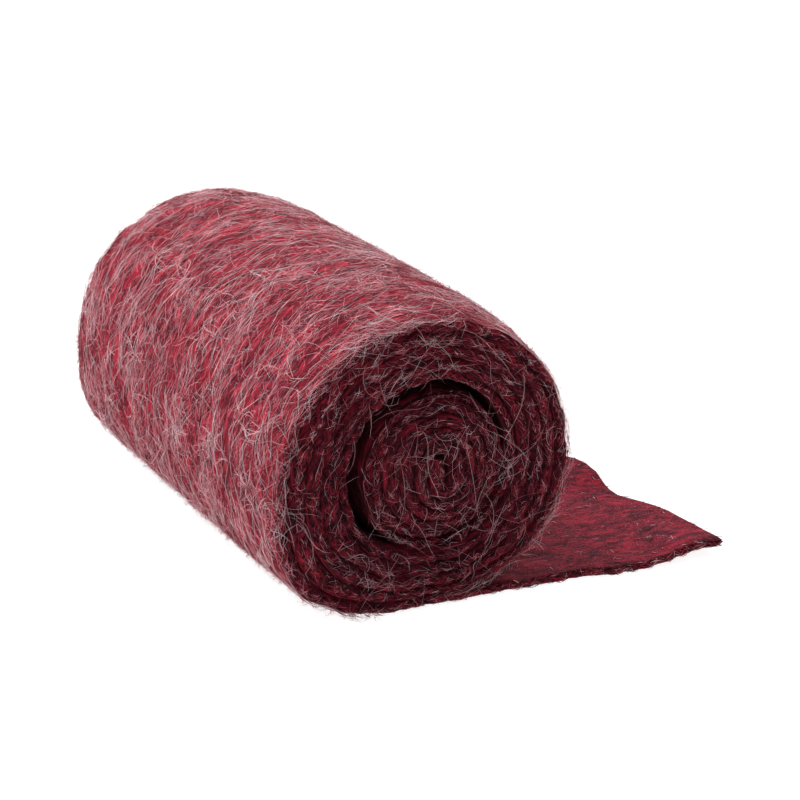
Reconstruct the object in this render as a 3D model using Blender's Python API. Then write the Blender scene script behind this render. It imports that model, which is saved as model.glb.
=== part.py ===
"""A roll of heathered wool felt with its loose end run out flat on the surface.

Metres, +Z up. The origin lies on the surface that the roll rests on, under the middle of the
whole thing. The strip is wound about Y, and its loose end runs out to +X. It is one strip of
felt, so it is one closed solid.
"""

import math

import bmesh
import bpy
import numpy as np

MM = 0.001

# Driving dimensions, in millimetres
FELT_WIDTH = 150.0
FELT_THICK = 2.45

# Where the middle of the whole thing is, from the front end of the roll, under its core
MIDDLE = (23.75, 75.56, 0.0)

# The middle of the felt's thickness where each turn passes below, left of, above and right of
# the core, seen from the front, before the roll settles. The strip runs inwards in that order.
# slide is how far the turn has slid along the roll, away from the front.
TURN_COLUMNS = ("below", "left", "above", "right", "slide")
TURNS = (
    (1.225, -40.8, 78.7, 40.8, 0.0),
    (4.2, -36.3, 74.6, 36.9, 0.3),
    (7.2, -32.0, 70.9, 33.4, -0.2),
    (10.2, -27.6, 67.2, 30.0, 0.2),
    (13.2, -22.9, 63.5, 26.8, 0.9),
    (16.2, -17.6, 58.7, 23.4, 3.4),
    (19.1, -13.5, 55.1, 20.0, 2.7),
    (22.1, -9.4, 51.4, 16.6, 1.3),
    (25.0, -5.3, 48.1, 13.2, 0.4),
    (27.8, -1.2, 44.8, 9.5, 0.0),
    (30.7, 3.4, 44.8, 9.5, -0.3),
)
LAST_TURN = 10.34  # the inner end stops just short of the fold above it
TURN_STEPS = (40, 36, 34, 32, 30, 28, 26, 24, 22, 20, 20)

# The roll has settled under its own weight, so its underside is flat and its lower sides
# bulge. A bulge widens the turns about an angle round the core by a share of their radius.
# Both fade out over the outer turns.
SETTLE = 0.9
SETTLE_BLEND = 0.7
BULGE_COLUMNS = ("angle", "spread", "share")
BULGES = (
    (220.0, 28.0, 0.14),
    (320.0, 26.0, 0.045),
)
SETTLED_TURNS = 5.0

# The turns draw in a little towards both cut edges of the felt, the outer ones in a curve
EDGE_COLUMNS = ("inset", "kept")
EDGES = (
    (0.0, 0.958),
    (9.0, 0.981),
    (30.0, 1.0),
)
CURVED_TURNS = 2

# The cut end of the loose part, from its front corner to its back corner: how far it reaches
# out from under the core, and how far it is lifted off the surface
CUT_END_COLUMNS = ("back", "reach", "lift")
CUT_END = (
    (0.0, 90.6, 1.9),
    (10.0, 90.2, 1.7),
    (20.0, 90.3, 1.2),
    (32.0, 90.3, 0.5),
    (38.0, 88.2, 0.0),
    (45.0, 84.6, 0.0),
    (52.0, 85.0, 0.3),
    (58.0, 84.9, 2.4),
    (64.0, 84.8, 4.0),
    (70.0, 84.0, 3.7),
    (77.0, 83.0, 2.2),
    (85.0, 80.0, 0.2),
    (100.0, 79.5, 0.0),
    (150.0, 80.5, 0.0),
)
LIFT_START = 62.0  # the loose part lies flat up to this far out
LIFT_FULL = 86.0
LOOSE_STEPS = 15
FRONT_BOW = 2.4  # the front edge of the loose part bows forward
FRONT_BOW_AT = 63.0
FRONT_BOW_SPREAD = 13.0

SHARP_ANGLE = 50.0


def column(rows, names, wanted):
    """One named column of a table, as an array."""
    return np.array([row[names.index(wanted)] for row in rows])


def smooth_step(value, start, end):
    """0 up to start, 1 from end, and an even slope in and out between."""
    share = min(max((value - start) / (end - start), 0.0), 1.0)
    return share * share * (3.0 - 2.0 * share)


def reach_of(side, quarter, turn):
    """How far the strip's middle reaches to that side of the core, after so many turns."""
    values = column(TURNS, TURN_COLUMNS, side)
    return float(np.interp(turn, np.arange(len(values)) + quarter, values))


def bulge_factor(angle, settled):
    """How much wider than an ellipse a settled turn is, at an angle in degrees."""
    total = 0.0
    for centre, spread, share in BULGES:
        total += share * math.exp(-(((angle % 360.0) - centre) / spread) ** 2)
    return 1.0 + settled * total


def no_lower(height, level):
    """height, but level where it would pass under level, with a smooth way between."""
    over = height - level
    if over <= -SETTLE_BLEND:
        return level
    if over >= SETTLE_BLEND:
        return height
    return level + (over + SETTLE_BLEND) ** 2 / (4.0 * SETTLE_BLEND)


def wound_section(turn):
    """(x, z) of the strip's middle, after so many turns in from the underside."""
    settled = max(0.0, 1.0 - turn / SETTLED_TURNS)
    left = reach_of("left", 0.25, turn)
    above = reach_of("above", 0.5, turn)
    right = reach_of("right", 0.75, turn)
    below = reach_of("below", 0.0, turn)
    angle = -90.0 - 360.0 * turn
    factor = bulge_factor(angle, settled)
    half_width = (right - left) / 2
    half_height = (above - below + SETTLE * settled) / 2
    x = left + half_width + half_width * factor * math.cos(math.radians(angle))
    z = above - half_height + half_height * factor * math.sin(math.radians(angle))
    level = TURNS[min(int(round(turn)), len(TURNS) - 1)][0]
    return x, no_lower(z, level) if settled else z


def wound_point(turn, back):
    """The strip's middle after so many turns, so far back from its front edge."""
    x, z = wound_section(turn)
    inset = min(back, FELT_WIDTH - back)
    kept = float(np.interp(inset, column(EDGES, EDGE_COLUMNS, "inset"),
                           column(EDGES, EDGE_COLUMNS, "kept")))
    slide = reach_of("slide", 0.0, turn)
    return x * kept, back + slide, FELT_THICK / 2 + (z - FELT_THICK / 2) * kept


def loose_point(share, back):
    """The strip's middle in the loose part, share of the way out from under the core."""
    backs = column(CUT_END, CUT_END_COLUMNS, "back")
    reach = float(np.interp(back, backs, column(CUT_END, CUT_END_COLUMNS, "reach")))
    lift = float(np.interp(back, backs, column(CUT_END, CUT_END_COLUMNS, "lift")))
    x = share * reach
    z = FELT_THICK / 2 + lift * smooth_step(x, LIFT_START, LIFT_FULL)
    bow = FRONT_BOW * math.exp(-((x - FRONT_BOW_AT) / FRONT_BOW_SPREAD) ** 2)
    return x, back - bow * (1.0 - back / FELT_WIDTH), z


def strip_rows():
    """Rows of points down the middle of the felt, from the cut end in to the core.

    Each row is a pair: its distances back from the front edge, and its points. The loose rows
    are finer across, to follow the lifted corner and the ridge.
    """
    rows = []
    backs = list(column(CUT_END, CUT_END_COLUMNS, "back"))
    for step in range(LOOSE_STEPS, 0, -1):
        share = (step / LOOSE_STEPS) ** 0.8
        rows.append((backs, [loose_point(share, back) for back in backs]))
    for whole, steps in enumerate(TURN_STEPS):
        insets = list(column(EDGES, EDGE_COLUMNS, "inset"))
        if whole >= CURVED_TURNS:
            insets = [insets[0], insets[-1]]
        backs = insets + [FELT_WIDTH - inset for inset in reversed(insets)]
        for step in range(steps):
            turn = whole + step / steps
            if turn < LAST_TURN:
                rows.append((backs, [wound_point(turn, back) for back in backs]))
    rows.append((backs, [wound_point(LAST_TURN, back) for back in backs]))
    return rows


def across(backs, points, wanted):
    """The points of a row at other distances back, so that rows can be compared."""
    points = np.array(points)
    return np.stack([np.interp(wanted, backs, points[:, axis]) for axis in range(3)], axis=1)


def row_normals(rows, index):
    """The direction out of the roll's side of the felt, at each point of a row."""
    backs, points = rows[index]
    before = rows[max(index - 1, 0)]
    after = rows[min(index + 1, len(rows) - 1)]
    along = across(after[0], after[1], backs) - across(before[0], before[1], backs)
    sideways = np.gradient(np.array(points), axis=0)
    normals = np.cross(sideways, along)
    return normals / np.linalg.norm(normals, axis=1)[:, None]


def stitch(bm, first, second, face_up):
    """Triangles between two rows of (back, vertex), which may differ in number."""
    at_first = 0
    at_second = 0
    while at_first < len(first) - 1 or at_second < len(second) - 1:
        end_first = at_first == len(first) - 1
        end_second = at_second == len(second) - 1
        step_first = end_second
        if not end_first and not end_second:
            step_first = first[at_first + 1][0] <= second[at_second + 1][0]
        corner = (first[at_first][1], second[at_second][1])
        if step_first:
            at_first += 1
            corner = (corner[0], corner[1], first[at_first][1])
        else:
            at_second += 1
            corner = (corner[0], corner[1], second[at_second][1])
        bm.faces.new(corner if face_up else corner[::-1])


def felt_mesh(name):
    """The whole strip as one closed mesh, in metres."""
    rows = strip_rows()
    bm = bmesh.new()
    faces = []
    for index, (backs, points) in enumerate(rows):
        normals = row_normals(rows, index)
        half = normals * FELT_THICK / 2
        sides = []
        for side in (half, -half):
            places = (np.array(points) + side - np.array(MIDDLE)) * MM
            sides.append([(back, bm.verts.new(place)) for back, place in zip(backs, places)])
        faces.append(sides)
    for before, after in zip(faces, faces[1:]):
        stitch(bm, before[0], after[0], True)
        stitch(bm, before[1], after[1], False)
        for edge, turned in ((0, False), (-1, True)):
            ends = [(0.0, before[0][edge][1]), (1.0, before[1][edge][1])]
            next_ends = [(0.0, after[0][edge][1]), (1.0, after[1][edge][1])]
            stitch(bm, ends, next_ends, turned)
    for index, turned in ((0, False), (-1, True)):
        stitch(bm, faces[index][0], faces[index][1], turned)
    bmesh.ops.recalc_face_normals(bm, faces=bm.faces)
    mesh = bpy.data.meshes.new(name)
    bm.to_mesh(mesh)
    bm.free()
    return mesh


def felt_material(name):
    """Heathered crimson wool felt."""
    material = bpy.data.materials.new(name)
    material.use_nodes = True
    surface = material.node_tree.nodes["Principled BSDF"]
    surface.inputs["Base Color"].default_value = (0.28, 0.045, 0.075, 1.0)
    surface.inputs["Roughness"].default_value = 0.95
    return material


def build():
    """Clear the scene and make the roll."""
    for old in list(bpy.data.objects):
        bpy.data.objects.remove(old, do_unlink=True)
    mesh = felt_mesh("felt_roll")
    mesh.materials.append(felt_material("wool_felt"))
    mesh.polygons.foreach_set("use_smooth", [True] * len(mesh.polygons))
    mesh.set_sharp_from_angle(angle=math.radians(SHARP_ANGLE))
    roll = bpy.data.objects.new("felt_roll", mesh)
    bpy.context.scene.collection.objects.link(roll)


build()
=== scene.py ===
"""The looks of a roll of hairy heathered wool felt with its loose end run out flat."""

import math

import bpy
import numpy as np
from mathutils import Matrix, Vector


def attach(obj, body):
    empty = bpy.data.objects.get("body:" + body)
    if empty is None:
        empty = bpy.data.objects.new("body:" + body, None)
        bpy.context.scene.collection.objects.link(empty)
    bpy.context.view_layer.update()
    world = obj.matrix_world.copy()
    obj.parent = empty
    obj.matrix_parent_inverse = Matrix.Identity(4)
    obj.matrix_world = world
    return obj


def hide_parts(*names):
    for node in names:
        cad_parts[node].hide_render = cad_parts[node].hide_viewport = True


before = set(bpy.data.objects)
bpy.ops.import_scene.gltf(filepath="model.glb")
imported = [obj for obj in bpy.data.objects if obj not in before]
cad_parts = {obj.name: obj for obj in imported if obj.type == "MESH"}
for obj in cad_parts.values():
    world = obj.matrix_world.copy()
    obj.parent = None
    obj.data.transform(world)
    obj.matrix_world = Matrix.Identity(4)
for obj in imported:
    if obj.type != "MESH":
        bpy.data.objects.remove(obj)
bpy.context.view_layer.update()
MM = 0.001
RNG = np.random.default_rng(1409)

# The same named sizes as in the part, in millimetres
FELT_WIDTH = 150.0
FELT_THICK = 2.45
TURN_COLUMNS = ("below", "left", "above", "right", "slide")
TURNS = (
    (1.225, -40.8, 78.7, 40.8, 0.0),
    (4.2, -36.3, 74.6, 36.9, 0.3),
    (7.2, -32.0, 70.9, 33.4, -0.2),
    (10.2, -27.6, 67.2, 30.0, 0.2),
    (13.2, -22.9, 63.5, 26.8, 0.9),
    (16.2, -17.6, 58.7, 23.4, 3.4),
    (19.1, -13.5, 55.1, 20.0, 2.7),
    (22.1, -9.4, 51.4, 16.6, 1.3),
    (25.0, -5.3, 48.1, 13.2, 0.4),
    (27.8, -1.2, 44.8, 9.5, 0.0),
    (30.7, 3.4, 44.8, 9.5, -0.3),
)
LAST_TURN = 10.34
SETTLE = 0.9
SETTLE_BLEND = 0.7
# Bulges of the settled turns: angle and spread in degrees, and share of the radius
BULGES = (
    (220.0, 28.0, 0.14),
    (320.0, 26.0, 0.045),
)
SETTLED_TURNS = 5.0
DRAWN_IN = 0.042
DRAWN_OVER = 11.0
CUT_END_COLUMNS = ("back", "reach", "lift")
CUT_END = (
    (0.0, 90.6, 1.9),
    (10.0, 90.2, 1.7),
    (20.0, 90.3, 1.2),
    (32.0, 90.3, 0.5),
    (38.0, 88.2, 0.0),
    (45.0, 84.6, 0.0),
    (52.0, 85.0, 0.3),
    (58.0, 84.9, 2.4),
    (64.0, 84.8, 4.0),
    (70.0, 84.0, 3.7),
    (77.0, 83.0, 2.2),
    (85.0, 80.0, 0.2),
    (100.0, 79.5, 0.0),
    (150.0, 80.5, 0.0),
)
LIFT_START = 62.0
LIFT_FULL = 86.0
# The ridge's front slope is a little steeper than the part's table makes it
SLOPE_BROW = 58.6
SLOPE_RAISED = 0.8
SLOPE_SPREAD = 2.6
FRONT_BOW = 2.4
FRONT_BOW_AT = 63.0
FRONT_BOW_SPREAD = 13.0
MIDDLE = np.array([23.75, 75.56, 0.0])
# Places over which the cut end's table is rounded off, and how far apart the normals' points are
CUT_END_SHIFTS = (-1.8, -0.9, 0.0, 0.9, 1.8)
NORMAL_STEP = 0.6


# The felt strip's middle surface


def column(rows, names, wanted):
    """One named column of a table, as an array."""
    return np.array([row[names.index(wanted)] for row in rows])


def smooth_step(value, start, end):
    """0 up to start, 1 from end, and an even slope in and out between."""
    share = np.clip((value - start) / (end - start), 0.0, 1.0)
    return share * share * (3.0 - 2.0 * share)


def reach_of(side, quarter, turn):
    """How far the strip's middle reaches to that side of the core, after so many turns."""
    values = column(TURNS, TURN_COLUMNS, side)
    return np.interp(turn, np.arange(len(values)) + quarter, values)


def wound_section(turn):
    """(x, z) of the strip's middle, after so many turns in from the underside."""
    settled = np.clip(1.0 - turn / SETTLED_TURNS, 0.0, 1.0)
    left = reach_of("left", 0.25, turn)
    above = reach_of("above", 0.5, turn)
    right = reach_of("right", 0.75, turn)
    below = reach_of("below", 0.0, turn)
    angle = -90.0 - 360.0 * turn
    factor = 1.0
    for centre, spread, share in BULGES:
        factor = factor + settled * share * np.exp(-(((angle % 360.0) - centre) / spread) ** 2)
    half_width = (right - left) / 2
    half_height = (above - below + SETTLE * settled) / 2
    x = left + half_width + half_width * factor * np.cos(np.radians(angle))
    z = above - half_height + half_height * factor * np.sin(np.radians(angle))
    levels = column(TURNS, TURN_COLUMNS, "below")
    level = levels[np.minimum(np.round(turn).astype(int), len(TURNS) - 1)]
    over = z - level
    blended = level + np.clip(over + SETTLE_BLEND, 0.0, None) ** 2 / (4.0 * SETTLE_BLEND)
    held = np.where(over >= SETTLE_BLEND, z, blended)
    return x, np.where(settled > 0.0, held, z)


def cut_end(name, back):
    """A column of the cut end's table, rounded off between its rows."""
    backs = column(CUT_END, CUT_END_COLUMNS, "back")
    values = column(CUT_END, CUT_END_COLUMNS, name)
    weight = 1.0 / len(CUT_END_SHIFTS)
    total = 0.0
    for shift in CUT_END_SHIFTS:
        total = total + weight * np.interp(back + shift, backs, values)
    return total


# Distance along the felt, in from where it leaves the roll's underside, against turns. It is
# negative in the loose part, whose cut end is at minus LOOSE_LENGTH.
TURN_GRID = np.linspace(0.0, LAST_TURN, 6000)
GRID_X, GRID_Z = wound_section(TURN_GRID)
ALONG_GRID = np.concatenate([[0.0], np.cumsum(np.hypot(np.diff(GRID_X), np.diff(GRID_Z)))])
WOUND_LENGTH = float(ALONG_GRID[-1])
LOOSE_LENGTH = 85.0


def turn_at(along):
    """Turns in from the underside, at a distance along the felt."""
    return np.interp(along, ALONG_GRID, TURN_GRID)


def along_at(turn):
    """Distance along the felt, at so many turns in."""
    return float(np.interp(turn, TURN_GRID, ALONG_GRID))


def middle(along, back):
    """Points of the felt's middle surface, in the part's frame."""
    along, back = np.broadcast_arrays(np.asarray(along, float), np.asarray(back, float))
    turn = turn_at(along)
    x, z = wound_section(turn)
    inset = np.clip(np.minimum(back, FELT_WIDTH - back), 0.0, None)
    kept = 1.0 - DRAWN_IN * np.exp(-inset / DRAWN_OVER)
    z = FELT_THICK / 2 + (z - FELT_THICK / 2) * kept
    y = back + reach_of("slide", 0.0, turn)
    held = np.clip(back, 0.0, FELT_WIDTH)
    loose_x = -along / LOOSE_LENGTH * cut_end("reach", held)
    lift = cut_end("lift", held)
    lift = lift + SLOPE_RAISED * np.exp(-(((held - SLOPE_BROW) / SLOPE_SPREAD) ** 2))
    lift = lift * smooth_step(loose_x, LIFT_START, LIFT_FULL)
    bow = FRONT_BOW * np.exp(-(((loose_x - FRONT_BOW_AT) / FRONT_BOW_SPREAD) ** 2))
    loose = along < 0.0
    x = np.where(loose, loose_x, x * kept)
    y = np.where(loose, back - bow * (1.0 - held / FELT_WIDTH), y)
    z = np.where(loose, FELT_THICK / 2 + lift, z)
    return np.stack([x, y, z], axis=-1) - MIDDLE


def inward(along, back):
    """The unit normal towards the core, which is the upper side of the loose part."""
    down = middle(along + NORMAL_STEP, back) - middle(along - NORMAL_STEP, back)
    across = middle(along, back + NORMAL_STEP) - middle(along, back - NORMAL_STEP)
    normal = np.cross(across, down)
    return normal / np.linalg.norm(normal, axis=-1, keepdims=True)


def soft_noise(seed, shortest, longest, stretch=1.0, waves=40):
    """A smooth random field over (along, back) of unit spread, stretched along the felt."""
    rng = np.random.default_rng(seed)
    length = shortest * (longest / shortest) ** rng.random(waves)
    way = rng.random(waves) * 2 * math.pi
    start = rng.random(waves) * 2 * math.pi
    along_rate = 2 * math.pi / length * np.cos(way) / stretch
    back_rate = 2 * math.pi / length * np.sin(way)

    def field(along, back):
        total = 0.0
        for rate, other, phase in zip(along_rate, back_rate, start):
            total = total + np.cos(rate * along + other * back + phase)
        return total * math.sqrt(2.0 / waves)

    return field


# The felt

LUMPS = soft_noise(11, 6.0, 26.0, 1.6)
THICKENING = soft_noise(12, 5.0, 20.0, 2.0)
RAGGED = soft_noise(13, 3.0, 18.0)
SMALL_RAGGED = soft_noise(14, 3.4, 7.0)
EDGE_ROUND = 1.05
# The pile fills most of the gap between two turns. One gap stays open round the core, where
# the turn inside it has slipped back and its edge stands clear of the next.
PILE_FILL = 0.86
EDGE_FILL = 0.74
EDGE_FILL_DEPTH = 4.0
PILE_UNEVEN = 0.07
EDGE_UNEVEN = 0.09
OPEN_FROM = 4.05
NARROW_FROM = 4.46
NARROW_TO = 4.80
NARROW_SHARE = 0.40
OPEN_TO = 5.12
OPEN_BLEND = 0.12
OPEN_BY = 0.60
PRESSED_IN = 0.80
OPEN_DEPTH = 22.0
SLIPPED_OUT = 1.1
SLIPPED_OUT_UNTIL = (4.36, 4.56)
SLIPPED_BACK = 1.6
SLIPPED_BACK_FROM = (4.46, 4.62)
# The thick pile in the core: turns before the felt's inner end where it starts, is full, starts
# to end and has ended
CORE_PILE = 2.6
CORE_PILE_TURNS = (0.95, 0.70, 0.20, 0.04)
CORE_GAP = 0.4
# The pile on the free faces and how uneven the cut edge is
LOOSE_PILE = 0.10
OUTSIDE_PILE = 0.22
RAGGED_BY = 0.30
SMALL_RAGGED_BY = 0.24
REAR_OFFSET = 977.0
EDGE_FADE = 3.0
# The mesh: how far in from the edges its columns run, and how far apart its rows are
EDGE_COLUMNS = [1.05, 1.7, 2.6, 4.0, 6.0, 9.0, 12.5, 16.5, 21.0]
RIDGE_COLUMNS = [26.5, 32.7, 38.9, 45.1, 50.5, 53.5, 56.0, 58.5, 61.0, 64.0, 68.5]
EDGE_TURN_IN = ((0.0, 0.0), (0.10, 0.42), (0.42, 0.80))
END_ROWS = (0.0, 0.1, 0.35, 0.8, 1.4)
END_TAPER = 1.3
THINNEST_END = 0.02
LOOSE_ROW_STEP = 1.9
WOUND_ROW_STEP = 1.7
# The turns that show from outside, which get most of the square UV map
SHOWN_TURNS = 1.08
MAP_MARGIN = 3.0
SHOWN_MAP = 0.66
HIDDEN_MAP_FROM = 0.68
HIDDEN_MAP = 0.31


def gap_inside(along):
    """The gap between the felt's middle here and in the next turn in, less its thickness."""
    turn = turn_at(along)
    here = np.stack(wound_section(turn))
    there = np.stack(wound_section(np.minimum(turn + 1.0, LAST_TURN)))
    gap = np.clip(np.hypot(*(here - there)) - FELT_THICK, 0.0, None)
    starts, full, falls, ends = (LAST_TURN - before for before in CORE_PILE_TURNS)
    in_core = smooth_step(turn, starts, full) * (1.0 - smooth_step(turn, falls, ends))
    return np.where(turn + 1.0 < LAST_TURN, gap, CORE_GAP + CORE_PILE * in_core)


def gap_outside(along):
    """The gap between the felt and the next turn out."""
    turn = turn_at(along)
    outer = np.interp(np.maximum(turn - 1.0, 0.0), TURN_GRID, ALONG_GRID)
    return np.where(turn > 1.0, gap_inside(outer), 0.0)


def opened(turn, back):
    """1 where the open gap is inside this turn, near the front, and 0 elsewhere."""
    share = smooth_step(turn, OPEN_FROM, OPEN_FROM + OPEN_BLEND)
    share = share * (1.0 - (1.0 - NARROW_SHARE) * smooth_step(turn, NARROW_FROM, NARROW_TO))
    share = share * (1.0 - smooth_step(turn, OPEN_TO - OPEN_BLEND, OPEN_TO))
    return share * np.exp(-np.clip(back, 0.0, None) / OPEN_DEPTH)


def face_height(along, back, side):
    """How far the felt's surface stands off its middle. side is 1 inwards and -1 outwards."""
    inset = np.clip(np.minimum(back, FELT_WIDTH - back), 0.0, None)
    near_edge = np.exp(-inset / EDGE_FILL_DEPTH)
    filled = PILE_FILL + (EDGE_FILL - PILE_FILL) * near_edge
    uneven = PILE_UNEVEN + EDGE_UNEVEN * near_edge
    fullness = filled * (0.5 + uneven * THICKENING(along, back))
    turn = turn_at(along)
    pressed = PRESSED_IN * opened(turn - 1.0, back)
    if side > 0:
        extra = gap_inside(along) * fullness
        loose = LOOSE_PILE + LOOSE_PILE * THICKENING(along, back)
        extra = np.where(along < 0.0, loose, extra)
        wide = opened(turn, back)
        pressed = -pressed
    else:
        extra = gap_outside(along) * fullness
        free = OUTSIDE_PILE + OUTSIDE_PILE * LUMPS(along, back)
        extra = np.where((along > 0.0) & (turn < 1.0), free, extra)
        wide = opened(turn - 1.0, back)
    extra = extra + (-OPEN_BY - extra) * wide
    return FELT_THICK / 2 + extra - pressed


def edge_reach(along, side):
    """How far the ragged cut edge stands out past its line. side is 0 in front, 1 behind."""
    offset = REAR_OFFSET * side
    slipped = 0.0
    if not side:
        outer = turn_at(along) - 1.0
        slipped = SLIPPED_BACK * smooth_step(outer, *SLIPPED_BACK_FROM)
        slipped = slipped - SLIPPED_OUT * (1.0 - smooth_step(outer, *SLIPPED_OUT_UNTIL))
        slipped = slipped * opened(outer, 0.0)
    ragged = RAGGED_BY * RAGGED(along, offset) + SMALL_RAGGED_BY * SMALL_RAGGED(along, offset)
    return ragged - slipped


def felt_points(along, back, height, out=0.0):
    """Points at a height off the felt's middle, kept on or above the surface it lies on."""
    points = middle(along, back) + inward(along, back) * np.asarray(height)[..., None]
    points[..., 2] = np.maximum(points[..., 2], out)
    return points


def loop_columns():
    """The loop round the strip: (back, share of the half thickness, side), from the front."""
    between = RIDGE_COLUMNS + list(np.arange(74.0, 125.0, 7.0))
    backs = EDGE_COLUMNS + between + [FELT_WIDTH - inset for inset in reversed(EDGE_COLUMNS)]
    front = [(EDGE_ROUND * back, share) for back, share in EDGE_TURN_IN]
    rear = [(FELT_WIDTH - back, share) for back, share in reversed(front)]
    outer = [(back, share, -1) for back, share in front]
    outer += [(back, 1.0, -1) for back in backs]
    outer += [(back, share, -1) for back, share in rear]
    inner = [(back, share, 1) for back, share, _ in outer[1:-1]]
    return outer + inner[::-1]


def tapered(distance):
    """How thick the felt is so far in from its own cut end, as a share."""
    share = np.clip(distance / END_TAPER, THINNEST_END, 1.0)
    return np.sqrt(1.0 - (1.0 - share) ** 2)


def felt_strip(name):
    """The felt as one closed mesh, with UV maps along the strip."""
    loop = loop_columns()
    count = len(loop)
    shown = along_at(SHOWN_TURNS)
    ends = np.array(END_ROWS)
    along = np.concatenate(
        [
            -LOOSE_LENGTH + ends,
            np.arange(-LOOSE_LENGTH + 3.0, shown, LOOSE_ROW_STEP),
            np.arange(shown, WOUND_LENGTH - 1.9, WOUND_ROW_STEP),
            (WOUND_LENGTH - ends)[::-1],
        ]
    )
    back = np.array([entry[0] for entry in loop])
    share = np.array([entry[1] for entry in loop])
    side = np.array([entry[2] for entry in loop])
    grid_along, grid_back = np.meshgrid(along, back, indexing="ij")
    height = np.where(
        side > 0,
        face_height(grid_along, grid_back, 1),
        -face_height(grid_along, grid_back, -1),
    )
    end_distance = np.minimum(along + LOOSE_LENGTH, WOUND_LENGTH - along)
    height = height * share * tapered(end_distance)[:, None]
    near_front = np.exp(-grid_back / EDGE_FADE)
    near_rear = np.exp(-(FELT_WIDTH - grid_back) / EDGE_FADE)
    moved = grid_back - near_front * edge_reach(grid_along, 0)
    moved = moved + near_rear * edge_reach(grid_along, 1)
    points = felt_points(grid_along, moved, height)
    rows = len(along)
    index = np.arange(rows * count).reshape(rows, count)
    a = index[:-1, :]
    b = index[1:, :]
    quads = np.stack([a, b, np.roll(b, -1, 1), np.roll(a, -1, 1)], -1).reshape(-1, 4)
    faces = [tuple(quad) for quad in quads.tolist()]
    half = count // 2
    caps = []
    for row, turned in ((0, False), (rows - 1, True)):
        ring = index[row]
        for place in range(half):
            corners = [ring[place], ring[place + 1], ring[(-place - 1) % count], ring[-place % count]]
            corners = list(dict.fromkeys(int(corner) for corner in corners))
            caps.append(tuple(corners[::-1] if turned else corners))
    mesh = bpy.data.meshes.new(name)
    mesh.from_pydata((points.reshape(-1, 3) * MM).tolist(), [], faces + caps)
    mesh.validate()
    strip_map(mesh, points, along, count)
    cut = np.where(share < 1.0, 1.0, 0.0)[None, :] + 0.0 * grid_back
    cut = np.maximum(cut, (end_distance < 0.7)[:, None] * 1.0)
    mesh.attributes.new("cut", "FLOAT", "POINT").data.foreach_set("value", cut.ravel())
    # Painted shade: the faces inside the open gap round the core, past the first few millimetres in
    # from the front, are marked to be coloured near black for the shade in that recess
    turn = turn_at(grid_along)
    gap = np.where(side > 0, opened(turn, grid_back), opened(turn - 1.0, grid_back))
    gap = gap * (share >= 1.0) * smooth_step(grid_back, 0.5, 3.0)
    mesh.attributes.new("gap", "FLOAT", "POINT").data.foreach_set("value", gap.ravel())
    inner = np.where(side > 0, 1.0, 0.0)[None, :] + 0.0 * grid_back
    mesh.attributes.new("inner", "FLOAT", "POINT").data.foreach_set("value", inner.ravel())
    mesh.polygons.foreach_set("use_smooth", [True] * len(mesh.polygons))
    piece = bpy.data.objects.new(name, mesh)
    bpy.context.scene.collection.objects.link(piece)
    return piece


def strip_map(mesh, points, along, count):
    """UV maps for the strip: one in tenths of a metre for the materials, one that fills a square."""
    lengths = np.linalg.norm(np.diff(points, axis=1, append=points[:, :1]), axis=-1)
    around = np.concatenate([[0.0], np.cumsum(lengths.mean(axis=0))])
    rows = len(along)
    row = np.repeat(np.arange(rows - 1), count)
    place = np.tile(np.arange(count), rows - 1)
    u = np.stack([along[row], along[row + 1], along[row + 1], along[row]], -1)
    v = np.stack([around[place], around[place], around[place + 1], around[place + 1]], -1)
    u, v = u.reshape(-1), v.reshape(-1)
    capped = len(mesh.loops) - len(u)
    split = along_at(SHOWN_TURNS)
    whole = around[-1]
    in_first = np.repeat(along[row + 1] <= split + 2.0, 4)
    square_u = np.where(
        in_first,
        (u + LOOSE_LENGTH) / (split + MAP_MARGIN + LOOSE_LENGTH),
        (u - split + MAP_MARGIN) / (WOUND_LENGTH - split + 2 * MAP_MARGIN),
    )
    hidden_v = HIDDEN_MAP_FROM + v / whole * HIDDEN_MAP
    square_v = np.where(in_first, v / whole * SHOWN_MAP, hidden_v)
    plain = mesh.uv_layers.new(name="Strip")
    flat = np.stack([u, v], -1) / 100.0
    ends = np.zeros((capped, 2)) + 0.5
    plain.data.foreach_set("uv", np.concatenate([flat, ends]).ravel())
    filled = mesh.uv_layers.new(name="OFBake")
    square = np.clip(np.stack([square_u, square_v], -1), 0.001, 0.999)
    ends = np.zeros((capped, 2)) + 0.995
    filled.data.foreach_set("uv", np.concatenate([square, ends]).ravel())
    mesh.uv_layers.active = plain


# Fibres

# The direction that a fibre's three sides are laid out from, how soon it swells to its full
# width, and the least height of the fibres' points and of their paths
GUIDE = np.array([0.31, 0.52, 0.79])
SWELL = 2.6
LOWEST_POINT = 0.02
LOWEST_PATH = 0.06
# How much fibres wave, and the share of them that arch instead of rising at one end
WAVE = 0.35
ARCHED_SHARE = 0.5


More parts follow.
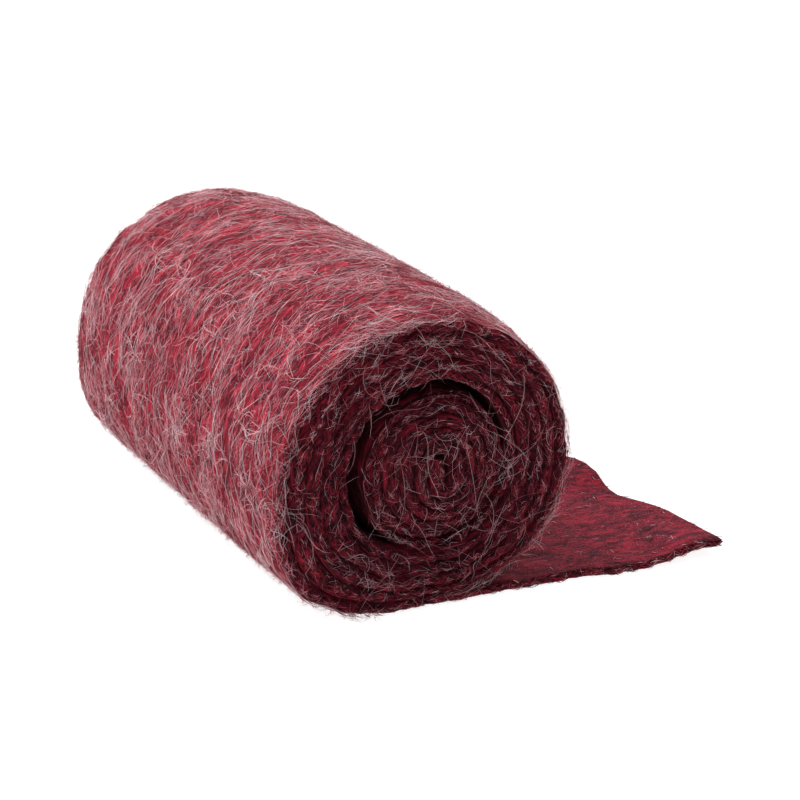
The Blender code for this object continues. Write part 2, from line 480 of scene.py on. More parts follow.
def fibre_mesh(name, paths, widths, tones, material):
    """Many tapered three-sided fibres as one mesh. paths is (fibres, points, 3), in mm."""
    number, length, _ = paths.shape
    ahead = np.gradient(paths, axis=1)
    ahead /= np.linalg.norm(ahead, axis=-1, keepdims=True) + 1e-9
    side = np.cross(ahead, GUIDE)
    side /= np.linalg.norm(side, axis=-1, keepdims=True) + 1e-9
    up = np.cross(side, ahead)
    share = np.linspace(0.0, 1.0, length)
    swell = np.minimum(1.0, SWELL * np.sqrt(np.minimum(share, 1.0 - share)))
    radius = widths[:, None] / 2 * swell[None, :]
    inner = slice(1, length - 1)
    rings = []
    for corner in range(3):
        turned = 2 * math.pi * corner / 3
        offset = side * math.cos(turned) + up * math.sin(turned)
        rings.append(paths[:, inner] + offset[:, inner] * radius[:, inner, None])
    rings = np.stack(rings, axis=2).reshape(number, -1, 3)
    points = np.concatenate([paths[:, :1], rings, paths[:, -1:]], axis=1)
    each = points.shape[1]
    steps = length - 2
    faces = []
    for corner in range(3):
        other = (corner + 1) % 3
        faces.append((0, 1 + corner, 1 + other))
        for step in range(steps - 1):
            low = 1 + 3 * step
            high = low + 3
            faces.append((low + corner, high + other, low + other))
            faces.append((low + corner, high + corner, high + other))
        last = 1 + 3 * (steps - 1)
        faces.append((last + corner, each - 1, last + other))
    faces = np.array(faces)
    whole = (faces[None] + (np.arange(number) * each)[:, None, None]).reshape(-1, 3)
    points[..., 2] = np.maximum(points[..., 2], LOWEST_POINT)
    mesh = bpy.data.meshes.new(name)
    mesh.vertices.add(number * each)
    mesh.vertices.foreach_set("co", (points * MM).ravel())
    mesh.loops.add(whole.size)
    mesh.loops.foreach_set("vertex_index", whole.ravel())
    mesh.polygons.add(len(whole))
    mesh.polygons.foreach_set("loop_start", np.arange(0, whole.size, 3))
    mesh.polygons.foreach_set("loop_total", np.full(len(whole), 3))
    mesh.update(calc_edges=True)
    mesh.validate()
    place = np.concatenate([[0.0], np.repeat(share[1:-1], 3), [1.0]])
    ring = np.concatenate([[0.5], np.tile([0.05, 0.5, 0.95], steps), [0.5]])
    cells = math.ceil(math.sqrt(number))
    cell = np.arange(number)
    cell_u = (cell % cells)[:, None] + 0.1 + 0.8 * ring[None, :]
    cell_v = (cell // cells)[:, None] + 0.1 + 0.8 * place[None, :]
    uv = np.stack([cell_u, cell_v], -1).reshape(-1, 2) / cells
    layer = mesh.uv_layers.new(name="OFBake")
    layer.data.foreach_set("uv", uv[whole.ravel()].ravel())
    tone = np.repeat(tones, each)
    mesh.attributes.new("tone", "FLOAT", "POINT").data.foreach_set("value", tone)
    down = np.tile(place, number)
    mesh.attributes.new("down", "FLOAT", "POINT").data.foreach_set("value", down)
    mesh.polygons.foreach_set("use_smooth", [True] * len(mesh.polygons))
    mesh.materials.append(material)
    piece = bpy.data.objects.new(name, mesh)
    bpy.context.scene.collection.objects.link(piece)
    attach(piece, "root")
    return piece


# Fields for the fibres' headings, for the pale patches and for the fine heather
SWIRL = soft_noise(21, 18.0, 60.0, 1.2)
SMALL_SWIRL = soft_noise(22, 5.0, 16.0)
PALE = soft_noise(23, 9.0, 30.0, 1.5)
SMALL_PALE = soft_noise(24, 2.2, 7.0, 1.6)
HEATHER = soft_noise(25, 1.8, 6.5, 1.7)


def on_face(along, back, heading, length, curl, low, lift, side, points=7):
    """Paths of fibres that lie on a face of the felt, and arch or rise off it a little."""
    number = len(along)
    share = np.linspace(0.0, 1.0, points)[None, :]
    start = 2 * math.pi * RNG.random((number, 1))
    wave = RNG.normal(0.0, WAVE, (number, 1)) * np.sin(share * 5.0 + start)
    way = heading[:, None] + curl[:, None] * (share - 0.5) + wave
    step = length[:, None] / (points - 1)
    run = np.cumsum(np.cos(way) * step, axis=1)
    drift = np.cumsum(np.sin(way) * step, axis=1)
    path_along = along[:, None] + run - run.mean(axis=1, keepdims=True)
    path_back = back[:, None] + drift - drift.mean(axis=1, keepdims=True)
    arch = 4.0 * share * (1.0 - share)
    rise = share**1.6
    arched = RNG.random((number, 1)) < ARCHED_SHARE
    shape = np.where(arched, arch, rise)
    path_along = np.clip(path_along, -LOOSE_LENGTH - 1.0, WOUND_LENGTH)
    held = np.clip(path_back, 0.0, FELT_WIDTH)
    height = face_height(path_along, held, side) + low[:, None] + lift[:, None] * shape
    return felt_points(path_along, path_back, side * height, LOWEST_PATH)


def mixed(number, *kinds):
    """One value for each fibre, from kinds of (share, low, high), in a random order."""
    shares = np.array([kind[0] for kind in kinds])
    kind = RNG.choice(len(kinds), number, p=shares / shares.sum())
    low = np.array([entry[1] for entry in kinds])[kind]
    high = np.array([entry[2] for entry in kinds])[kind]
    return low + (high - low) * RNG.random(number), kind


# The nap: kinds of fibre by share, tone, length, width, how far they stand off and how far
# they stray from the way the felt runs
NAP_COLUMNS = ("share", "tone", "tone_to", "length", "length_to", "width", "lift", "stray")
UNDER_NAP = (
    (0.60, 0.14, 0.42, 1.8, 5.5, 0.190, 0.26, 0.50),
    (0.40, 0.24, 0.50, 3.0, 8.0, 0.140, 0.32, 0.50),
)
PALE_NAP = (
    (0.70, 0.66, 0.92, 6.0, 17.0, 0.070, 0.62, 0.52),
    (0.16, 0.88, 1.00, 7.0, 16.0, 0.070, 1.00, 0.75),
    (0.14, 0.70, 0.98, 3.0, 9.0, 0.050, 2.2, 1.10),
)
FUZZ = ((1.00, 0.42, 0.84, 1.5, 4.2, 0.075, 1.9, 1.60),)
# The share of the nap that starts right at the front rim, and how far the dull patches reach
AT_RIM = 0.014
DULL_BELOW = -0.14
# Kinds of fibre by share and range of tone: on the loose part, on the cut edges, off the edges
# The loose part's fibre tones are kept dark: partly their own colour, partly painted shade for the
# roll's shadow on the loose part
LOOSE_TONES = ((0.46, 0.04, 0.24), (0.36, 0.22, 0.42), (0.18, 0.54, 0.80))
EDGE_TONES = ((0.42, 0.0, 0.14), (0.36, 0.28, 0.54), (0.22, 0.58, 0.90))
OFF_EDGE_TONES = ((0.4, 0.05, 0.35), (0.35, 0.4, 0.6), (0.25, 0.66, 0.90))
# The painted highlight on the cut edge of the turn round the core: turns where it starts, is full,
# fades and ends
PAINTED_RIM_LIGHT_TURNS = (4.60, 4.70, 5.1, 5.2)
PAINTED_RIM_LIGHT = 0.24
# Strays: where the roll's middle is, how many spots they gather at, and the shares that gather
# there and that are long
ROLL_MIDDLE_X = 2.0
ROLL_MIDDLE_Z = 38.0
STRAY_SPOTS = 14
GATHERED_SHARE = 0.35
LONG_SHARE = 0.30


def nap_values(number, tables):
    """Arrays of tone, length, width, lift and stray, for so many fibres of those kinds."""
    shares = column(tables, NAP_COLUMNS, "share")
    kind = RNG.choice(len(tables), number, p=shares / shares.sum())
    pick = {name: column(tables, NAP_COLUMNS, name)[kind] for name in NAP_COLUMNS}
    tone = pick["tone"] + (pick["tone_to"] - pick["tone"]) * RNG.random(number)
    length = pick["length"] + (pick["length_to"] - pick["length"]) * RNG.random(number) ** 1.3
    return kind, tone, length, pick["width"], pick["lift"], pick["stray"]


def outside_places(number):
    """(along, back) of fibres on the outside of the roll, clear of its flat underside."""
    start = along_at(0.05)
    end = along_at(1.0)
    along = start + (end - start) * RNG.random(number)
    back = -0.6 + (FELT_WIDTH + 1.2) * RNG.random(number)
    at_rim = RNG.random(number) < AT_RIM
    back = np.where(at_rim, -1.8 + 5.0 * RNG.random(number), back)
    return along, back


def tangle(along, back):
    """How tangled the nap is, 0 to 1: more so low down on the left, towards the front."""
    turn = turn_at(along)
    low_left = np.exp(-(((turn - 0.15) / 0.13) ** 2))
    return np.clip(low_left * (1.1 - back / 170.0), 0.0, 1.0)


def roll_nap(name, number, table, points, material, low_lying=1.5):
    """Fibres over the outside of the roll, the pale ones thick in some patches."""
    along, back = outside_places(number)
    kind, tone, length, width, lift, stray = nap_values(number, table)
    veil = 0.90 * PALE(along, back) + 0.55 * SMALL_PALE(along, back)
    patchy = veil + 0.45 * RNG.normal(0.0, 1.0, number)
    dull = (tone > 0.65) & (kind == 0) & (patchy < DULL_BELOW)
    tone = np.where(dull, 0.08 + 0.50 * RNG.random(number), tone)
    tone = np.where(tone < 0.62, np.clip(tone + 0.15 * HEATHER(along, back), 0.0, 0.62), tone)
    loose = tangle(along, back)
    heading = 0.34 * SWIRL(along, back) + 0.17 * SMALL_SWIRL(along, back)
    heading = heading + RNG.normal(0.0, 1.0, number) * (stray + 0.55 * loose)
    heading = heading + math.pi * (RNG.random(number) < 0.5)
    curl = RNG.normal(0.0, 0.45, number) + RNG.normal(0.0, 0.6, number) * loose
    low = -0.12 + 0.35 * RNG.random(number)
    lift = lift * RNG.random(number) ** low_lying
    width = width * (0.75 + 0.5 * RNG.random(number))
    paths = on_face(along, back, heading, length, curl, low, lift, -1, points)
    return fibre_mesh(name, paths, width, tone, material)


def stars(name, clusters, material):
    """Tufts of pale fibres that spread from one spot, on the roll's lower left side."""
    paths = []
    for _ in range(clusters):
        number = int(RNG.integers(6, 14))
        turn = 0.09 + 0.34 * RNG.random() ** 1.2
        spot_back = 4.0 + 142.0 * RNG.random()
        heading = RNG.random(number) * 2 * math.pi
        length = 5.0 + 9.0 * RNG.random(number)
        along = along_at(turn) + 0.42 * length * np.cos(heading)
        back = spot_back + 0.42 * length * np.sin(heading)
        curl = RNG.normal(0.0, 0.4, number)
        low = 0.05 + 0.2 * RNG.random(number)
        lift = 0.4 + 1.2 * RNG.random(number)
        paths.append(on_face(along, back, heading, length, curl, low, lift, -1))
    paths = np.concatenate(paths)
    widths = 0.085 + 0.05 * RNG.random(len(paths))
    tones = 0.72 + 0.24 * RNG.random(len(paths))
    return fibre_mesh(name, paths, widths, tones, material)


def loose_nap(name, number, material):
    """Short fibres on the upper side of the loose part."""
    along = -LOOSE_LENGTH * RNG.random(number)
    back = -0.4 + (FELT_WIDTH + 0.8) * RNG.random(number)
    tone, _ = mixed(number, *LOOSE_TONES)
    tone = np.clip(tone + 0.08 * HEATHER(along, back), 0.0, 1.0)
    length = 1.3 + 3.2 * RNG.random(number)
    heading = RNG.normal(0.0, 0.75, number) + 0.2 * SWIRL(along, back)
    curl = RNG.normal(0.0, 0.5, number)
    low = -0.16 + 0.2 * RNG.random(number)
    lift = 0.30 * RNG.random(number) ** 2
    width = 0.07 + 0.06 * RNG.random(number)
    paths = on_face(along, back, heading, length, curl, low, lift, 1, 4)
    return fibre_mesh(name, paths, width, tone, material)


def sunk(height, half):
    """How far the rounded cut edge falls back from its line at a height off the middle."""
    share = np.clip(np.abs(height) / half, 0.0, 1.0)
    return EDGE_ROUND * (1.0 - np.sqrt(1.0 - share**2.2))


def on_cut_edge(along, place, heading, length, curl, out, lift, rear, points=4):
    """Paths of fibres that lie along the felt's cut edge.

    place is where across the felt's thickness a fibre starts, from -1 outside to 1 inside.
    """
    share = np.linspace(0.0, 1.0, points)[None, :]
    way = heading[:, None] + curl[:, None] * (share - 0.5)
    step = length[:, None] / (points - 1)
    run = np.cumsum(np.cos(way) * step, axis=1)
    climb = np.cumsum(np.sin(way) * step, axis=1)
    path_along = along[:, None] + run - run.mean(axis=1, keepdims=True)
    path_along = np.clip(path_along, -LOOSE_LENGTH, WOUND_LENGTH)
    edge = np.full(path_along.shape, FELT_WIDTH if rear else 0.0)
    inner = face_height(path_along, edge, 1)
    outer = face_height(path_along, edge, -1)
    height = np.where(place[:, None] > 0.0, inner, outer) * place[:, None]
    height = height + climb - climb.mean(axis=1, keepdims=True)
    height = np.clip(height, -outer, inner)
    half = np.where(height > 0.0, inner, outer)
    stand = out[:, None] + lift[:, None] * 4.0 * share * (1.0 - share)
    stand = stand - sunk(height, half) + edge_reach(path_along, 1 if rear else 0)
    back = np.where(rear, FELT_WIDTH + stand, -stand)
    return felt_points(path_along, back, height, LOWEST_PATH)


def edge_fibres(name, number, rear, material):
    """Fibres that lie along the turns on an end of the roll and along the loose part's edge."""
    along = -LOOSE_LENGTH + (WOUND_LENGTH + LOOSE_LENGTH) * RNG.random(number)
    place = RNG.uniform(-0.8, 0.8, number)
    tone, kind = mixed(number, *EDGE_TONES)
    turn = turn_at(along)
    # Painted light: the fibres on the inner half of the turn round the core get a painted highlight,
    # and those on the outer turns are lighter towards the upper left
    starts, full, fades, ends = PAINTED_RIM_LIGHT_TURNS
    rim = smooth_step(turn, starts, full) * (1.0 - smooth_step(turn, fades, ends)) * (place > -0.1)
    upper_left = 0.5 + 0.5 * np.cos(2 * math.pi * (turn - 0.35))
    outer = (1.0 - smooth_step(turn, 1.6, 3.0)) * upper_left
    tone = tone + 0.12 * HEATHER(along, 3.0 * place) + PAINTED_RIM_LIGHT * rim + 0.15 * outer
    # Painted shade: fibres near the borders between turns are darker than those in the middle of each
    # turn's edge
    tone = tone + 0.08 - 0.20 * smooth_step(np.abs(place), 0.35, 0.75)
    tone = np.clip(tone, 0.0, 1.0)
    length = 1.2 + 4.2 * RNG.random(number) ** 1.4
    heading = RNG.normal(0.0, 0.55, number)
    curl = RNG.normal(0.0, 0.9, number)
    out = -0.06 + 0.35 * RNG.random(number)
    lift = 0.9 * RNG.random(number) ** 2
    width = 0.075 + 0.085 * RNG.random(number)
    width = np.where(kind == 2, 0.055, width)
    paths = on_cut_edge(along, place, heading, length, curl, out, lift, rear)
    return fibre_mesh(name, paths, width, tone, material)


def face_strays(name, number, rear, material):
    """Stray pale fibres that wander over an end of the roll, across its turns, with kinks."""
    points = 9
    along = WOUND_LENGTH * RNG.random(number) ** 0.8
    spots = WOUND_LENGTH * RNG.random(STRAY_SPOTS)
    near = spots[RNG.integers(0, len(spots), number)] + RNG.normal(0.0, 3.0, number)
    gathered = RNG.random(number) < GATHERED_SHARE
    along = np.where(gathered, np.clip(near, 0.0, WOUND_LENGTH), along)
    turn = turn_at(along)
    root = middle(along, np.zeros(number))
    slide = reach_of("slide", 0.0, turn)
    share = np.linspace(0.0, 1.0, points)[None, :]
    aside = root[:, 0] + MIDDLE[0] - ROLL_MIDDLE_X
    outward = np.arctan2(root[:, 2] + MIDDLE[2] - ROLL_MIDDLE_Z, aside)
    heading = outward + math.pi / 2 + RNG.normal(0.0, 0.85, number)
    heading = heading + math.pi * (RNG.random(number) < 0.5)
    long = RNG.random(number) < LONG_SHARE
    length = np.where(long, 9.0 + 16.0 * RNG.random(number), 3.0 + 6.0 * RNG.random(number))
    curl = RNG.normal(0.0, 0.9, number) - 0.2 * length / 10.0
    bend = RNG.normal(0.0, 0.25, (number, 1)) * np.sin(share * 6.0 + RNG.random((number, 1)) * 6)
    kink = RNG.normal(0.0, 1.0, (number, 1)) * (share > RNG.uniform(0.3, 0.9, (number, 1)))
    kink = kink * (RNG.random((number, 1)) < 0.5)
    way = heading[:, None] + curl[:, None] * (share - 0.5) + bend + kink
    step = length[:, None] / (points - 1)
    x = np.cumsum(np.cos(way) * step, axis=1)
    z = np.cumsum(np.sin(way) * step, axis=1)
    x = root[:, :1] + x - x.mean(axis=1, keepdims=True)
    z = root[:, 2:] + z - z.mean(axis=1, keepdims=True)
    arch = 4.0 * share * (1.0 - share)
    stand = 0.1 + 0.5 * RNG.random((number, 1)) + 1.8 * RNG.random((number, 1)) ** 2 * arch
    front = -stand + 0.4 * slide[:, None] - MIDDLE[1]
    behind = FELT_WIDTH + stand + 0.9 * slide[:, None] - MIDDLE[1]
    y = behind if rear else front
    paths = np.stack([x, y + 0.0 * x, np.maximum(z, 0.2)], axis=-1)
    widths = 0.045 + 0.035 * RNG.random(number) ** 2
    tones = 0.66 + 0.34 * RNG.random(number)
    return fibre_mesh(name, paths, widths, tones, material)


def edge_fuzz(name, number, material):
    """Short fibres that stick out of the cut edges, on both ends of the roll and along the loose
    part.
    """
    share = np.linspace(0.0, 1.0, 4)[None, :]
    split = number // 3
    rear = np.arange(number) < split
    along = -LOOSE_LENGTH + (WOUND_LENGTH + LOOSE_LENGTH) * RNG.random(number)
    rim = RNG.random(number) < 0.5
    near_rim = -LOOSE_LENGTH + (along_at(1.0) + LOOSE_LENGTH) * RNG.random(number)
    along = np.where(rim, near_rim, along)
    height = RNG.uniform(-1.2, 1.3, number)
    length = 1.2 + 3.2 * RNG.random(number) ** 1.5
    length = np.where(along < 0.0, 0.5 * length, length)
    slant = RNG.normal(0.0, 0.9, number)
    tip = RNG.normal(0.0, 0.5, number)
    path_along = along[:, None] + np.sin(slant)[:, None] * length[:, None] * share
    path_along = np.clip(path_along, -LOOSE_LENGTH, WOUND_LENGTH)
    stand = -0.8 + np.cos(slant)[:, None] * length[:, None] * share**0.8 * 0.8
    path_height = height[:, None] + tip[:, None] * length[:, None] * share**1.5 * 0.5
    back = np.where(rear[:, None], FELT_WIDTH + stand, -stand)
    paths = felt_points(path_along, back, path_height, LOWEST_PATH)
    widths = 0.045 + 0.05 * RNG.random(number)
    tones, _ = mixed(number, *OFF_EDGE_TONES)
    return fibre_mesh(name, paths, widths, tones, material)


# Materials


class Nodes:
    """A short way to write a material's nodes."""

    def __init__(self, name):
        self.material = bpy.data.materials.new(name)
        self.material.use_nodes = True
        self.tree = self.material.node_tree
        self.surface = self.tree.nodes["Principled BSDF"]

    def add(self, kind, **settings):
        """A new node, with its settings and inputs by name."""
        node = self.tree.nodes.new("ShaderNode" + kind)
        for key, value in settings.items():
            if hasattr(node, key):
                setattr(node, key, value)
            else:
                self.feed(node.inputs[key], value)
        return node

    def join(self, output, socket):
        """Link an output to an input."""
        self.tree.links.new(output, socket)

    def feed(self, socket, value):
        """Give an input a number, a colour or an output."""
        if isinstance(value, (int, float)):
            socket.default_value = value
        elif isinstance(value, tuple):
            socket.default_value = (*value, 1.0)
        else:
            self.join(value, socket)

    def maths(self, operation, first, second):
        """The result of a Math node on outputs or numbers."""
        node = self.tree.nodes.new("ShaderNodeMath")
        node.operation = operation
        for socket, value in zip(node.inputs, (first, second)):
            self.feed(socket, value)
        return node.outputs[0]

    def spread(self, value, low, high, out_low=0.0, out_high=1.0):
        """value mapped smoothly from low..high to out_low..out_high."""
        node = self.tree.nodes.new("ShaderNodeMapRange")
        node.interpolation_type = "SMOOTHSTEP"
        self.tree.links.new(value, node.inputs["Value"])
        node.inputs["From Min"].default_value = low
        node.inputs["From Max"].default_value = high
        node.inputs["To Min"].default_value = out_low
        node.inputs["To Max"].default_value = out_high
        return node.outputs["Result"]

    def mix(self, factor, first, second):
        """A colour between two, each a colour or an output."""
        node = self.tree.nodes.new("ShaderNodeMix")
        node.data_type = "RGBA"
        sockets = {"Factor": factor, "A": first, "B": second}
        for socket in node.inputs:
            if socket.enabled and socket.name in sockets:
                self.feed(socket, sockets[socket.name])
        return [output for output in node.outputs if output.enabled][0]

    def noise(self, where, scale, detail=2.0, rough=0.5):
        """A noise texture's value."""
        node = self.tree.nodes.new("ShaderNodeTexNoise")
        self.tree.links.new(where, node.inputs["Vector"])
        node.inputs["Scale"].default_value = scale
        node.inputs["Detail"].default_value = detail
        node.inputs["Roughness"].default_value = rough
        return node.outputs["Fac"]

    def ramp(self, value, stops):
        """A colour ramp over stops of (place, colour)."""
        node = self.tree.nodes.new("ShaderNodeValToRGB")
        self.tree.links.new(value, node.inputs["Fac"])
        elements = node.color_ramp.elements
        while len(elements) < len(stops):
            elements.new(0.5)
        for element, (place, colour) in zip(elements, stops):
            element.position = place
            element.color = (*colour, 1.0)
        return node.outputs["Color"]

    def place(self, u, v, w=0.0):
        """A vector from three values."""
        node = self.tree.nodes.new("ShaderNodeCombineXYZ")
        for socket, value in zip(node.inputs, (u, v, w)):
            self.feed(socket, value)
        return node.outputs["Vector"]


BLACKISH = (0.010, 0.003, 0.005)
BURGUNDY = (0.032, 0.006, 0.011)
WINE = (0.105, 0.009, 0.019)
CRIMSON = (0.270, 0.014, 0.030)
SCARLET = (0.480, 0.026, 0.052)
ROSE = (0.560, 0.160, 0.195)
LILAC = (0.720, 0.425, 0.465)
FROST = (0.920, 0.800, 0.825)


def felt_material(name):
    """Heathered felt: crimson and burgundy strands under a veil of pale ones."""
    nodes = Nodes(name)
    uv = nodes.add("UVMap", uv_map="Strip")
    parts = nodes.add("SeparateXYZ", Vector=uv.outputs["UV"])
    u, v = parts.outputs["X"], parts.outputs["Y"]
    wide = nodes.noise(nodes.place(u, v), 5.5, 1.0)
    small = nodes.noise(nodes.place(u, v, 3.0), 19.0, 1.0)
    warp = nodes.maths("MULTIPLY", nodes.maths("SUBTRACT", wide, 0.5), 0.10)
    more = nodes.maths("MULTIPLY", nodes.maths("SUBTRACT", small, 0.5), 0.022)
    bent = nodes.maths("ADD", nodes.maths("ADD", v, warp), more)

    def strands(long, fine, seed, slant, detail=3.0, rough=0.6):
        slanted = nodes.maths("ADD", bent, nodes.maths("MULTIPLY", u, slant))
        run = nodes.maths("MULTIPLY", u, long)
        across = nodes.maths("MULTIPLY", slanted, fine)
        return nodes.noise(nodes.place(run, across, seed), 1.0, detail, rough)

    body = strands(9.0, 105.0, 0.0, 0.05)
    fine = strands(16.0, 260.0, 7.3, -0.22)
    other = strands(14.0, 230.0, 13.1, 0.28)
    third = strands(12.0, 200.0, 21.7, 0.02)
    fleck = nodes.noise(nodes.place(nodes.maths("MULTIPLY", u, 0.42), bent, 31.0), 62.0, 1.5)
    blend = nodes.maths("MULTIPLY", body, 0.42)
    blend = nodes.maths("ADD", blend, nodes.maths("MULTIPLY", fine, 0.26))
    blend = nodes.maths("ADD", blend, nodes.maths("MULTIPLY", fleck, 0.32))
    inner = nodes.add("Attribute", attribute_name="inner").outputs["Fac"]
    flecked = nodes.maths("MULTIPLY", nodes.maths("SUBTRACT", fleck, blend), 0.80)
    blend = nodes.maths("ADD", blend, nodes.maths("MULTIPLY", flecked, inner))
    calm = nodes.maths("MULTIPLY", nodes.maths("SUBTRACT", 0.5, blend), 0.60)
    grain = nodes.noise(nodes.place(nodes.maths("MULTIPLY", u, 0.7), v, 41.0), 240.0, 1.5)
    grain = nodes.maths("MULTIPLY", nodes.maths("SUBTRACT", grain, 0.5), 0.50)
    broad = nodes.noise(nodes.place(nodes.maths("MULTIPLY", u, 0.7), v, 47.0), 15.0, 1.5)
    broad = nodes.maths("MULTIPLY", nodes.maths("SUBTRACT", broad, 0.5), 0.24)
    change = nodes.maths("ADD", calm, nodes.maths("ADD", grain, broad))
    blend = nodes.maths("ADD", blend, nodes.maths("MULTIPLY", change, inner))
    stops = (
        (0.40, BURGUNDY),
        (0.47, WINE),
        (0.52, CRIMSON),
        (0.60, SCARLET),
    )
    base = nodes.ramp(blend, stops)
    cover = nodes.noise(nodes.place(u, v, 9.0), 8.0, 3.0, 0.55)
    veil = nodes.maths("MAXIMUM", nodes.spread(other, 0.53, 0.66), nodes.spread(third, 0.54, 0.68))
    veil = nodes.maths("MULTIPLY", veil, nodes.spread(cover, 0.36, 0.62, 0.03, 0.26))
    cut = nodes.add("Attribute", attribute_name="cut").outputs["Fac"]
    bare = nodes.maths("MAXIMUM", cut, inner)
    veil = nodes.maths("MULTIPLY", veil, nodes.spread(bare, 0.0, 1.0, 1.0, 0.30))
    colour = nodes.mix(veil, base, ROSE)
    # The inner faces, which show only on the loose part, are mixed towards burgundy: partly that
    # face's own darker colour, partly painted shade for the roll's shadow on the loose part
    colour = nodes.mix(nodes.maths("MULTIPLY", inner, 0.50), colour, BURGUNDY)
    # Painted shade, partly also the cut felt's own darker colour: the cut faces are mixed towards
    # burgundy by an amount that varies at random along the felt, and less on the outer turns, which
    # are painted lighter
    lit = nodes.noise(nodes.place(u, 0.0, 4.0), 3.2, 1.0)
    shade = nodes.maths("MULTIPLY", cut, nodes.spread(lit, 0.38, 0.60, 0.80, 0.40))
    shade = nodes.maths("MULTIPLY", shade, nodes.spread(u, 4.0, 6.4, 0.62, 1.0))
    colour = nodes.mix(shade, colour, BURGUNDY)
    speck = nodes.noise(nodes.place(nodes.maths("MULTIPLY", u, 0.5), v, 17.0), 110.0, 2.0)
    dark = nodes.maths("MULTIPLY", cut, nodes.spread(speck, 0.44, 0.60, 0.0, 0.85))
    colour = nodes.mix(dark, colour, BLACKISH)
    # Painted shade: near black inside the open gap round the core, where the gap attribute marks it
    gap = nodes.add("Attribute", attribute_name="gap").outputs["Fac"]
    colour = nodes.mix(nodes.maths("MULTIPLY", gap, 0.9), colour, BLACKISH)
    nodes.join(colour, nodes.surface.inputs["Base Color"])
    nodes.surface.inputs["Roughness"].default_value = 0.92
    nodes.surface.inputs["Specular IOR Level"].default_value = 0.04
    nodes.surface.inputs["Sheen Weight"].default_value = 0.02
    nodes.surface.inputs["Sheen Roughness"].default_value = 0.55
    nodes.surface.inputs["Sheen Tint"].default_value = (0.9, 0.6, 0.66, 1.0)
    raised = nodes.maths("ADD", blend, nodes.maths("MULTIPLY", veil, 0.35))
    bump = nodes.add("Bump", Height=raised, Strength=0.9, Distance=0.0008)
    nodes.join(bump.outputs["Normal"], nodes.surface.inputs["Normal"])
    return nodes.material


def fibre_material(name):
    """Wool fibres, whose tone runs from burgundy through crimson to pale grey."""
    nodes = Nodes(name)
    tone = nodes.add("Attribute", attribute_name="tone").outputs["Fac"]
    down = nodes.add("Attribute", attribute_name="down").outputs["Fac"]
    place = nodes.add("TexCoord").outputs["Object"]
    mottle = nodes.noise(place, 900.0, 2.0)
    change = nodes.maths("MULTIPLY", nodes.maths("SUBTRACT", mottle, 0.5), 0.16)
    varied = nodes.maths("ADD", tone, change)
    stops = (
        (0.00, BURGUNDY),
        (0.18, WINE),
        (0.36, CRIMSON),
        (0.52, SCARLET),
        (0.66, ROSE),
        (0.80, LILAC),
        (1.00, FROST),
    )
    colour = nodes.ramp(varied, stops)
    root = nodes.spread(down, 0.0, 0.25, 0.25, 0.0)
    colour = nodes.mix(root, colour, WINE)
    nodes.join(colour, nodes.surface.inputs["Base Color"])
    nodes.surface.inputs["Roughness"].default_value = 0.6
    nodes.surface.inputs["Specular IOR Level"].default_value = 0.25
    return nodes.material


# How strongly the floor glows, and the soft light all round: dim and bright, and its bright side
FLOOR_GLOW = 0.92
WORLD_DIM = 0.10
WORLD_BRIGHT = 0.80
BRIGHT_SIDE = (-0.10, 0.62, 0.78)


def floor_material(name):
    """Plain pale floor."""
    nodes = Nodes(name)
    nodes.surface.inputs["Base Color"].default_value = (0.25, 0.25, 0.25, 1.0)
    nodes.surface.inputs["Roughness"].default_value = 0.95
    nodes.surface.inputs["Specular IOR Level"].default_value = 0.0
    nodes.surface.inputs["Emission Color"].default_value = (1.0, 1.0, 1.0, 1.0)
    nodes.surface.inputs["Emission Strength"].default_value = FLOOR_GLOW
    return nodes.material


def studio_world():
    """Soft light all round, brighter from above and behind."""
    world = bpy.data.worlds.new("studio")
    bpy.context.scene.world = world
    world.use_nodes = True
    tree = world.node_tree
    way = tree.nodes.new("ShaderNodeTexCoord")
    towards = tree.nodes.new("ShaderNodeVectorMath")
    towards.operation = "DOT_PRODUCT"
    tree.links.new(way.outputs["Generated"], towards.inputs[0])
    towards.inputs[1].default_value = BRIGHT_SIDE
    strength = tree.nodes.new("ShaderNodeMapRange")
    strength.interpolation_type = "SMOOTHSTEP"
    tree.links.new(towards.outputs["Value"], strength.inputs["Value"])
    strength.inputs["From Min"].default_value = -0.2
    strength.inputs["From Max"].default_value = 0.9
    strength.inputs["To Min"].default_value = WORLD_DIM
    strength.inputs["To Max"].default_value = WORLD_BRIGHT
    tree.links.new(strength.outputs["Result"], tree.nodes["Background"].inputs["Strength"])
    tree.nodes["Background"].inputs["Color"].default_value = (1.0, 1.0, 1.0, 1.0)


# The scene

felt = felt_strip("felt")
felt.data.materials.append(felt_material("heathered_felt"))
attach(felt, "root")
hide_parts("felt_roll")

FIBRE = fibre_material("wool_fibres")
fibres = [
    roll_nap("under_nap", 11000, UNDER_NAP, 4, FIBRE),
    roll_nap("pale_nap_a", 9000, PALE_NAP, 5, FIBRE),
    roll_nap("pale_nap_b", 9000, PALE_NAP, 5, FIBRE),
    roll_nap("fuzz", 17000, FUZZ, 3, FIBRE, 1.0),
    stars("nap_tufts", 34, FIBRE),
    loose_nap("loose_nap", 5600, FIBRE),
    edge_fibres("front_edge_fibres", 8800, False, FIBRE),
    edge_fibres("rear_edge_fibres", 3200, True, FIBRE),
    face_strays("front_strays", 300, False, FIBRE),
    face_strays("rear_strays", 200, True, FIBRE),
    edge_fuzz("edge_fuzz", 1900, FIBRE),
]


# Where each light stands, how wide it is and how strong, and where they all point
LIGHTS = (
    ("key", (-0.30, 0.45, 0.95), 0.7, 9.8),
    ("back", (0.52, 0.88, 0.68), 0.8, 18.5),
    ("left", (-0.95, -0.05, 0.40), 0.6, 4.4),
)
LIT_SPOT = (0.0, 0.0, 0.04)
FLOOR_REACH = 6.0


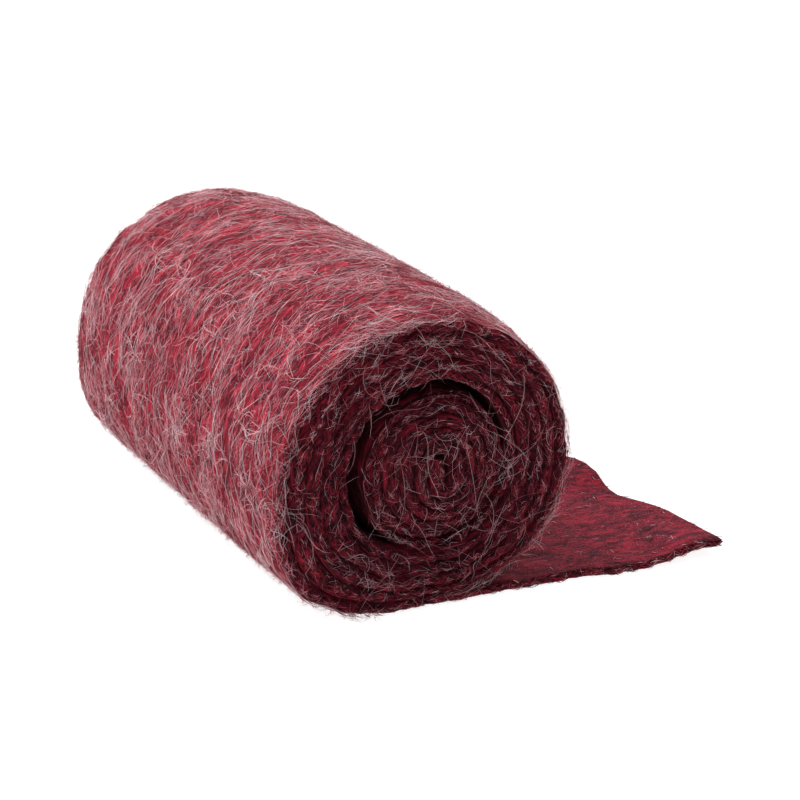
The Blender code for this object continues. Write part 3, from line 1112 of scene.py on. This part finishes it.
def stage():
    """A pale floor, and soft light from above, behind and the left."""
    mesh = bpy.data.meshes.new("floor")
    far = FLOOR_REACH
    corners = [(-far, -far, 0), (far, -far, 0), (far, far, 0), (-far, far, 0)]
    mesh.from_pydata(corners, [], [(0, 1, 2, 3)])
    mesh.materials.append(floor_material("floor"))
    floor = bpy.data.objects.new("floor", mesh)
    bpy.context.scene.collection.objects.link(floor)
    studio_world()
    for name, spot, size, power in LIGHTS:
        lamp = bpy.data.lights.new(name, "AREA")
        lamp.size = size
        lamp.energy = power
        holder = bpy.data.objects.new(name, lamp)
        holder.location = spot
        away = Vector(spot) - Vector(LIT_SPOT)
        holder.rotation_mode = "QUATERNION"
        holder.rotation_quaternion = away.to_track_quat("Z", "Y")
        bpy.context.scene.collection.objects.link(holder)


# The camera, fitted to the photo's outline in a frame with the front end of the roll at y = 0
VIEW_AZIMUTH = -26.076
VIEW_ELEVATION = 18.324
VIEW_TILT = 0.554
VIEW_RADIUS = 40.693
VIEW_DISTANCE = 15.497
VIEW_RIGHT = 0.170
VIEW_UP = -0.363
VIEW_LENS = 112.15


def camera():
    """The photo's camera."""
    azimuth, elevation, tilt = np.radians([VIEW_AZIMUTH, VIEW_ELEVATION, VIEW_TILT])
    back = np.array(
        [
            math.sin(azimuth) * math.cos(elevation),
            -math.cos(azimuth) * math.cos(elevation),
            math.sin(elevation),
        ]
    )
    right = np.cross(-back, [0.0, 0.0, 1.0])
    right /= np.linalg.norm(right)
    up = np.cross(right, -back)
    level_right = math.cos(tilt) * right + math.sin(tilt) * up
    level_up = -math.sin(tilt) * right + math.cos(tilt) * up
    spot = np.array([0.0, 0.0, 1.0]) + back * VIEW_DISTANCE
    spot = spot - level_right * VIEW_RIGHT - level_up * VIEW_UP
    place = Matrix.Identity(4)
    for row in range(3):
        place[row][0] = level_right[row]
        place[row][1] = level_up[row]
        place[row][2] = back[row]
        place[row][3] = (spot[row] * VIEW_RADIUS - MIDDLE[row]) * MM
    lens = bpy.data.cameras.new("camera")
    lens.lens = VIEW_LENS
    lens.sensor_width = 36.0
    lens.clip_start = 0.01
    lens.clip_end = 50.0
    holder = bpy.data.objects.new("camera", lens)
    holder.matrix_world = place
    bpy.context.scene.collection.objects.link(holder)
    bpy.context.scene.camera = holder


stage()
camera()
bpy.context.scene.view_settings.view_transform = "Standard"
